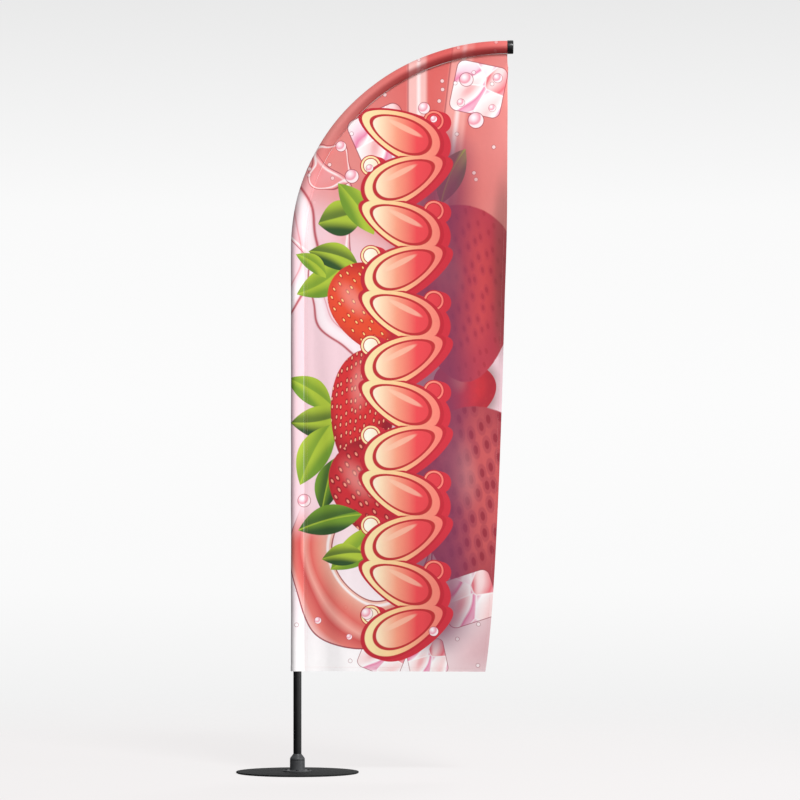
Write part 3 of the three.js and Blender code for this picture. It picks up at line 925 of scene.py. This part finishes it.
# the lighter copy: painted light on the sides of the hub and the dome
POWDER_COAT = hard_surface("powder_coat", rgb(54, 55, 57), rgb(70, 71, 73),
                           metallic=0.0, rough=(0.4, 0.55), grain=900, depth=0.00008, gloss=0.35)
PAD_RUBBER = hard_surface("pad_rubber", rgb(20, 20, 21), rgb(32, 32, 33),
                          metallic=0.0, rough=(0.75, 0.9), grain=500, depth=0.0002)
BLACK_SCREW = hard_surface("black_oxide", rgb(26, 26, 27), rgb(44, 44, 46),
                           metallic=0.7, rough=(0.35, 0.5), grain=1200, depth=0.00004)
BEARING_STEEL = hard_surface("ground_steel", rgb(190, 192, 196), rgb(216, 218, 220),
                             metallic=1.0, rough=(0.16, 0.28), grain=700, depth=0.00001)
CAGE_NYLON = hard_surface("nylon_cage", rgb(150, 122, 84), rgb(176, 148, 108),
                          metallic=0.0, rough=(0.45, 0.6), grain=600, depth=0.00004)
ZINC_STEEL = hard_surface("zinc_plate", rgb(168, 172, 176), rgb(196, 198, 196),
                          metallic=1.0, rough=(0.3, 0.46), grain=400, depth=0.00002)
TURNED_STEEL = hard_surface("turned_steel", rgb(170, 173, 178), rgb(202, 204, 206),
                            metallic=1.0, rough=(0.22, 0.36), grain=60, depth=0.00002,
                            stretch=(0.1, 0.1, 40.0))
RING_RUBBER = hard_surface("ring_rubber", rgb(18, 18, 19), rgb(28, 28, 29),
                           metallic=0.0, rough=(0.6, 0.78), grain=900, depth=0.00004)
POLE_BLACK = hard_surface("black_anodised", rgb(15, 15, 16), rgb(24, 24, 25),
                          metallic=0.0, rough=(0.34, 0.44), grain=900, depth=0.00002,
                          stretch=(1.0, 1.0, 0.02))
POLE_FIBRE = hard_surface("black_fibreglass", rgb(26, 27, 28), rgb(42, 43, 44),
                          metallic=0.0, rough=(0.35, 0.5), grain=1100, depth=0.00005,
                          stretch=(1.0, 1.0, 0.05))
TIP_PLASTIC = hard_surface("moulded_plastic", rgb(16, 17, 18), rgb(26, 27, 28),
                           metallic=0.0, rough=(0.22, 0.36), grain=1500, depth=0.00003)
THREAD = hard_surface("thread", rgb(206, 140, 140), rgb(222, 164, 162),
                      metallic=0.0, rough=(0.6, 0.8), grain=2500, depth=0.0001)


def print_group():
    """The picture, with its painted shade, as a node group, so that both sides of the cloth share it."""
    tree, entries = open_group("fruit_print_and_painted_shade", ("Vector", "Place"))
    x, _, z = parts_of(tree, entries["Place"])
    return close_group(tree, paint_print(tree, flat_vector(tree, x, z)))


def cloth_surface(name, group, back):
    """Printed knitted polyester: the picture with its painted shade, a little paler where it shows through
    to the back.
    """
    look = Surface(name, roughness=0.72)
    look.put(Sheen_Weight=0.12, Sheen_Roughness=0.4, Specular_IOR_Level=0.3)
    tree = look.tree
    picture = add_node(tree, "Group")
    picture.node_tree = group
    tree.links.new(look.object_place, picture.inputs[0])
    colour = picture.outputs[0]
    if back:
        colour = mixed(tree, colour, rgb(240, 228, 228), 0.16)
    x, _, z = parts_of(tree, look.object_place)
    wale, course = 0.0011, 0.0014       # the knit's pitch across and down
    weave = (x * (2 * math.pi / wale)).sine() * (z * (2 * math.pi / course)).sine() * 0.5 + 0.5
    uneven = look.noise(60.0, 2.0)
    shade = (weave * 0.4 + uneven * 0.6).fade(0.2, 0.8, soft=False)
    colour = mixed(tree, mixed(tree, colour, (0.0, 0.0, 0.0, 1.0), 0.045), colour, shade)
    look.put(Base_Color=colour)
    look.rough(uneven, 0.66, 0.8)
    look.bump(weave * 0.7 + uneven * 0.3, 0.00012)
    return look.material


PRINT_AND_PAINTED_SHADE = print_group()
CLOTH_FRONT = cloth_surface("printed_cloth", PRINT_AND_PAINTED_SHADE, back=False)
CLOTH_BACK = cloth_surface("cloth_back", PRINT_AND_PAINTED_SHADE, back=True)


def finish_node(name, material):
    """Gives a node that stays as the CAD made it a better material."""
    mesh = bpy.data.objects[name].data
    mesh.materials.clear()
    mesh.materials.append(material)


# ---------------------------------------------------------------- foot

def make_foot():
    (_, _, bottom), (plate_r, _, top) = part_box("base_plate")
    seat_r, seat_deep, edge = 0.0532, 0.0003, 0.0009
    inner = plate_r - edge
    plate = turned("foot_plate", [
        (0, bottom),
        (inner, bottom),
        *arc(inner, bottom + edge, edge, -90, 0, 5),
        *arc(inner, top - edge, edge, 0, 90, 5),
        (seat_r, top),
        (seat_r, top - seat_deep),
        (0, top - seat_deep),
    ], segments=180)
    finish_piece(plate, SHADED_PLATE_COAT, "foot_powder_coat", "base", "base_plate")


def make_hub():
    (_, _, bottom), (_, _, top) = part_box("hub_housing")
    flange_r, flange_thick, collar_r, fillet, edge = 0.0525, 0.004, 0.0275, 0.003, 0.0007
    bore_r, floor_r, seat_z = 0.0213, 0.0175, 0.014
    shelf = bottom + flange_thick
    profile = [
        (floor_r, bottom),
        (flange_r, bottom),
        *arc(flange_r - edge, shelf - edge, edge, 0, 90, 5),
        *arc(collar_r + fillet, shelf + fillet, fillet, 270, 180, 8),
        *arc(collar_r - edge, top - edge, edge, 0, 90, 5),
        (bore_r, top),
        (bore_r, seat_z),
        (floor_r, seat_z),
    ]
    hub = turned("bearing_hub", profile, closed=True)
    finish_piece(hub, POWDER_COAT, "foot_powder_coat", "base", "hub_housing")


def make_screws():
    """Button-head screws with a hexagon socket, on the hub's flange."""
    circle_r, shank_r, head_r, head_high = 0.042, 0.0027, 0.00525, 0.0033
    rim_r, rim_share = 0.0030, 0.25     # the head's flat top, and the straight side's share of its height
    hex_r, hex_deep, hex_edge, hex_share = 0.0023, 0.002, 0.0003, 0.93
    segments = 48
    for number in range(4):
        (_, _, foot), (_, _, top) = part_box(f"hub_screw_{number + 1}")
        seat = top - head_high
        dome = [(rim_r + (head_r - rim_r) * math.sin(a),
                 seat + head_high * (rim_share + (1 - rim_share) * math.cos(a)))
                for a in np.linspace(math.pi / 2, 0, 8)]
        profile = [(0, foot, 0), (shank_r, foot, 0), (shank_r, seat, 0), (head_r, seat, 0)]
        profile += [(r, z, 0) for r, z in dome]
        profile += [(hex_r + hex_edge, top, 1), (hex_r, top - hex_edge, 1), (hex_r, top - hex_deep, 1),
                    (0, top - hex_deep, 0)]
        turn = number * math.pi / 2
        vertices = []
        for angle in np.linspace(0, 2 * math.pi, segments, endpoint=False):
            flat = math.cos(math.pi / 6) / math.cos(angle % (math.pi / 3) - math.pi / 6)
            for r, z, six_sided in profile:
                reach = r * (flat / math.cos(math.pi / 6) * hex_share if six_sided else 1.0)
                x, y = reach * math.cos(angle), reach * math.sin(angle)
                vertices.append((x + circle_r * math.cos(turn), y + circle_r * math.sin(turn), z))
        faces = grid_faces(segments, len(profile), wrap_rows=True)
        screw = new_piece(f"flange_screw_{number + 1}", vertices, faces)
        tidy(screw)
        finish_piece(screw, BLACK_SCREW, "screw_black", "base", f"hub_screw_{number + 1}")


def make_shroud():
    """The dome that covers the hub and tapers up to the pole."""
    (_, _, bottom), (shroud_r, _, top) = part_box("spindle_shroud")
    bore_r, top_r, edge = 0.0125, 0.0154, 0.0005
    centre_r, centre_z, dome_r, dome_deg = 0.0131, 0.0500, 0.0144, 41
    profile = [
        (bore_r, bottom),
        (shroud_r - edge, bottom),
        *arc(centre_r, centre_z, dome_r, 0, dome_deg, 12),
        *arc(top_r - edge, top - edge, edge, 0, 90, 4),
        (bore_r, top),
    ]
    shroud = turned("spindle_dome", profile, closed=True)
    finish_piece(shroud, POWDER_COAT, "foot_powder_coat", "spindle", "spindle_shroud")


def make_spindle():
    """The spindle with its pin, which shows when the pole is lifted off."""
    (_, _, foot), (_, _, top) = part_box("spindle")
    journal_r, collar_r, pin_r = 0.010, 0.014, 0.0122
    collar_low, collar_top, chamfer = 0.0442, 0.0482, 0.002
    groove_r, groove_half = 0.00975, 0.0016
    profile = [(0, foot), (journal_r - 0.0005, foot), (journal_r, foot + 0.0005), (journal_r, collar_low),
               (collar_r, collar_low), (collar_r, collar_top), (pin_r, collar_top)]
    for height in RING_HEIGHTS:
        profile += [(pin_r, height - groove_half), (groove_r, height - groove_half),
                    (groove_r, height + groove_half), (pin_r, height + groove_half)]
    profile += [*arc(pin_r - chamfer, top - chamfer, chamfer, 0, 90, 6), (0, top)]
    spindle = turned("spindle_pin", profile, segments=64)
    finish_piece(spindle, TURNED_STEEL, "spindle_steel", "spindle", "spindle")
    wire_r, reach_r = 0.0013, 0.01265
    for number, height in enumerate(RING_HEIGHTS, 1):
        wire = arc(reach_r - wire_r, height, wire_r, 0, 345, 23)
        ring = turned(f"pin_ring_{number}", wire, segments=64, closed=True)
        finish_piece(ring, RING_RUBBER, "ring_rubber", "spindle", f"pin_rubber_ring_{number}")


# ---------------------------------------------------------------- pole

def tube_profile(outer, inner, bottom, top, edge=0.0004):
    return [
        *arc(inner + edge, bottom + edge, edge, 180, 270, 3),
        *arc(outer - edge, bottom + edge, edge, -90, 0, 3),
        *arc(outer - edge, top - edge, edge, 0, 90, 3),
        *arc(inner + edge, top - edge, edge, 90, 180, 3),
    ]


def make_pole():
    bore_r, ferrule_bore_r = 0.0130, 0.0106
    for name, node, body in (("lower_tube", "pole_lower", "lower_pole"),
                             ("middle_tube", "pole_middle", "middle_pole")):
        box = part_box(node)
        piece = turned(name, tube_profile(POLE_R, bore_r, box[0][2], box[1][2]), segments=64, closed=True)
        finish_piece(piece, POLE_BLACK, "pole_black", body, node)
    for name, node, body in (("lower_ferrule", "ferrule_lower", "lower_pole"),
                             ("upper_ferrule", "ferrule_upper", "middle_pole")):
        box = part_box(node)
        profile = tube_profile(box[1][0], ferrule_bore_r, box[0][2], box[1][2], 0.0008)
        piece = turned(name, profile, segments=64, closed=True)
        finish_piece(piece, ZINC_STEEL, "zinc_steel", body, node)
    points, tangents = pole_line(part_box("pole_upper")[0][2], 160)
    outer = np.array([[(POLE_R * c, POLE_R * s) for c, s in ring_of(48)]] * len(points))
    piece = skin("upper_tube", points, tangents, outer, outer * (bore_r / POLE_R))
    finish_piece(piece, POLE_FIBRE, "pole_fibreglass", "flag_and_upper_pole", "pole_upper")


def skin(name, points, tangents, outer, inner):
    """A hollow swept along a line: rings of (inward, forward) offsets for its outside and its bore."""
    across = inward(tangents)
    rows, sides = outer.shape[:2]

    def placed(rings):
        forward = np.array([0.0, -1.0, 0.0])
        return points[:, None, :] + across[:, None, :] * rings[:, :, :1] + forward * rings[:, :, 1:]

    vertices = np.concatenate([placed(outer).reshape(-1, 3), placed(inner).reshape(-1, 3)])
    count = rows * sides
    faces = grid_faces(rows, sides, wrap_columns=True)
    inside = [tuple(i + count for i in f[::-1]) for f in faces]
    ends = []
    for row, flip in ((0, False), (rows - 1, True)):
        for j in range(sides):
            a, b = row * sides + j, row * sides + (j + 1) % sides
            quad = (b, a, a + count, b + count)
            ends.append(quad[::-1] if flip else quad)
    piece = new_piece(name, vertices, faces + inside + ends)
    tidy(piece)
    return piece


# ---------------------------------------------------------------- tip

def make_tip():
    """The push-in cap on the pole's end and the plug that rounds the sleeve's end, both turned about X."""
    cap_r, edge, spigot_r = CAP_BOX[1][2] - TIP_Z, 0.003, 0.0123
    face = TIP_X + 0.0006
    spigot = CAP_BOX[0][0]
    end = CAP_BOX[1][0]
    lip = 0.0062
    profile = [
        (0, spigot),
        (spigot_r - 0.001, spigot),
        (spigot_r, spigot + 0.001),
        (spigot_r, face),
        *arc(cap_r - 0.0006, face + 0.0006, 0.0006, -90, 0, 3),
        (cap_r, face + lip),
        (cap_r - 0.0006, face + lip + 0.0003),
        (cap_r - 0.0006, face + lip + 0.0009),
        (cap_r, face + lip + 0.0012),
        *arc(cap_r - edge, end - edge, edge, 0, 90, 8),
        (0, end),
    ]
    cap = turned_on_x("tip_cap", profile)
    finish_piece(cap, TIP_PLASTIC, "tip_plastic", "tip_cap", "end_cap")
    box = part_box("tip_plug")
    plug_r, bore_r = box[1][2] - TIP_Z, 0.0162
    profile = tube_profile(plug_r, bore_r, box[0][0], box[1][0], 0.0010)
    plug = turned_on_x("sleeve_plug", profile, closed=True)
    finish_piece(plug, TIP_PLASTIC, "tip_plastic", "flag_and_upper_pole", "tip_plug")


def turned_on_x(name, profile, closed=False):
    """A body turned about the pole's end, from (radius, x) points."""
    piece = turned(name, profile, closed=closed)
    for vertex in piece.data.vertices:
        x, y, z = vertex.co
        vertex.co = (z, y, TIP_Z - x)
    piece.data.update()
    return piece


# ---------------------------------------------------------------- sleeve and flag

def sleeve_rings(points, sides):
    """The sleeve's outline at each point: drawn to a seam on the straight pole, and round on the bend."""
    rounding_z, rounding_high = BEND_Z - 0.10, 0.32
    half_deep, loose = 0.0240, 0.0005
    angle = np.linspace(0, 2 * math.pi, sides, endpoint=False)
    bend = np.clip((points[:, 2] - rounding_z) / rounding_high, 0, 1)
    bend = (bend * bend * (3 - 2 * bend))[:, None]
    seam = np.maximum(np.abs(np.sin(angle / 2)), 1e-9)[None, :] ** (1 - bend)
    across = np.cos(angle)[None, :] * (SLEEVE_R + loose)
    forward = np.sin(angle)[None, :] * seam * (half_deep + loose * bend)
    return np.stack([np.broadcast_to(across, forward.shape), forward], 2)


def make_sleeve():
    """The sleeve, which swells and narrows a little along the pole, and the cuff folded round its mouth."""
    sides = 72
    swell, swells = 0.012, 61           # as a share of its size, and in radians over its length
    points, tangents = pole_line(FLAG_BOTTOM, 420)
    wave = 1 + swell * np.sin(np.linspace(0, 1, len(points)) * swells)[:, None, None]
    outer = sleeve_rings(points, sides) * wave
    sleeve = skin("sleeve_cloth", points, tangents, outer, outer * (1 - CLOTH_THICK / SLEEVE_R))
    finish_piece(sleeve, CLOTH_FRONT, "sleeve_cloth", "flag_and_upper_pole", "pole_sleeve")
    foot = slice(0, CUFF_RINGS)
    outside, inside = (outer[foot] * (1 + gap / SLEEVE_R) for gap in (CLOTH_THICK * 1.3, 0.0001))
    cuff = skin("sleeve_cuff", points[foot], tangents[foot], outside, inside)
    finish_piece(cuff, CLOTH_FRONT, "sleeve_cloth", "flag_and_upper_pole")


def make_flag():
    x, z, across = cloth_grid(GRID_ROWS, GRID_COLUMNS)
    hung = hang(x, z, across)
    fine = eased(eased(hung, FINER).transpose(1, 0, 2), FINER).transpose(1, 0, 2)
    normals = grid_normals(fine)
    flag = sheet_of("flag_cloth", fine, normals, CLOTH_THICK)
    finish_piece(flag, (CLOTH_FRONT, CLOTH_BACK), "flag_cloth", "flag_and_upper_pole", "flag_panel")
    sewn = hem_strips(fine, normals) + [make_stitching(fine, normals)]


def hem_strips(fine, normals):
    """The turned-over edge behind the free side and the bottom of the flag."""
    probe = 60                          # the row and the column where the grid's steps are measured
    wide, tall = (max(2, round(HEM_WIDE / float(np.linalg.norm(step))))
                  for step in (fine[probe, -1] - fine[probe, -2], fine[1, probe] - fine[0, probe]))
    strips = []
    for name, rows, columns in (("fly_hem", slice(None), slice(-wide - 1, None)),
                                ("bottom_hem", slice(0, tall + 1), slice(None, -wide - 1))):
        places = fine[rows, columns] - normals[rows, columns] * CLOTH_THICK * 1.05
        strip = sheet_of(name, places, normals[rows, columns], CLOTH_THICK)
        finish_piece(strip, (CLOTH_BACK, CLOTH_BACK), "flag_cloth", "flag_and_upper_pole")
        strips.append(strip)
    return strips


def make_stitching(fine, normals):
    """Double rows along the sleeve's seam and one row in each hem."""
    lift = normals * (CLOTH_THICK / 2)
    face = fine + lift
    rows = [(face[:, 1], normals[:, 1]), (face[:, 2], normals[:, 2]),
            (face[:, -3], normals[:, -3]), (face[2, :-3], normals[2, :-3])]
    piece = stitches(rows)
    finish_piece(piece, THREAD, "flag_cloth", "flag_and_upper_pole")
    return piece


# ---------------------------------------------------------------- the inside, as the CAD has it

def finish_hidden():
    for end in ("lower", "upper"):
        finish_node(f"{end}_bearing_outer_ring", BEARING_STEEL)
        finish_node(f"{end}_bearing_inner_ring", BEARING_STEEL)
        finish_node(f"{end}_bearing_cage", CAGE_NYLON)
        for number in range(9):
            finish_node(f"{end}_bearing_ball_{number + 1}", BEARING_STEEL)
    for name in ("outer_spacer", "inner_spacer", "hub_retaining_ring", "spindle_retaining_ring",
                 "spindle_washer"):
        finish_node(name, ZINC_STEEL)
    finish_node("anti_slip_pad", PAD_RUBBER)


# ---------------------------------------------------------------- stage

def make_floor():
    """A wide pale floor that fades out long before its edge."""
    floor = turned("floor", [(0, 0.0), (1.0, 0.0), (3.0, 0.0), (8.0, 0.0)], segments=128)
    if floor.data.polygons[0].normal.z < 0:
        floor.data.flip_normals()
    look = Surface("studio_floor", (0.12, 0.12, 0.12, 1.0), 0.9)
    x, y, _ = parts_of(look.tree, look.object_place)
    look.put(Emission_Color=WHITE, Emission_Strength=0.74, Specular_IOR_Level=0.0,
             Alpha=length_of(look.tree, x, y).fade(5.5, 1.2))
    floor.data.materials.append(look.material)
    floor.visible_diffuse = False
    floor.visible_glossy = False


def make_world():
    """An even pale studio: what the camera sees behind the flag, and the light that falls on it."""
    world = bpy.data.worlds.new("studio")
    bpy.context.scene.world = world
    world.use_nodes = True
    tree = world.node_tree
    tree.nodes.clear()
    side, _, height = parts_of(tree, add_node(tree, "TexCoord").outputs["Generated"])
    backdrop = height.size().ramp((0.0, grey(252)), (0.035, grey(250)),
                                  (0.075, grey(233)), (1.0, grey(228)))
    rise = height * 0.32 + (side * 0.28 + 0.5)
    glow = rise.ramp((0.05, grey(16)), (0.34, grey(78)), (0.50, grey(226)),
                     (0.62, grey(236)), (0.9, grey(240)))
    light = add_node(tree, "Background", Color=glow, Strength=0.74)
    seen = add_node(tree, "Background", Color=backdrop)
    choose = add_node(tree, "MixShader", Fac=add_node(tree, "LightPath").outputs["Is Camera Ray"])
    tree.links.new(light.outputs[0], choose.inputs[1])
    tree.links.new(seen.outputs[0], choose.inputs[2])
    add_node(tree, "OutputWorld", Surface=choose.outputs[0])


def add_light(name, place, aim, size, power, in_gloss=True):
    data = bpy.data.lights.new(name, "AREA")
    data.shape = "DISK"
    data.size = size
    data.energy = power
    light = bpy.data.objects.new(name, data)
    light.location = place
    light.rotation_euler = (Vector(aim) - Vector(place)).to_track_quat("-Z", "Y").to_euler()
    light.visible_glossy = in_gloss
    bpy.context.scene.collection.objects.link(light)


make_foot()
make_hub()
make_screws()
make_shroud()
make_spindle()
make_pole()
make_tip()
make_sleeve()
make_flag()
finish_hidden()
make_floor()
make_world()
add_light("key", (3.8, -9.2, 11.0), (0.3, 0.0, 1.2), 3.7, 1380)
add_light("side", (5.0, -2.2, 1.6), (0.0, 0.0, 0.8), 2.4, 110)
add_light("behind", (3.0, 8.5, 6.0), (0.3, 0.0, 1.4), 3.0, 480, in_gloss=False)
bpy.context.scene.view_settings.view_transform = "Standard"
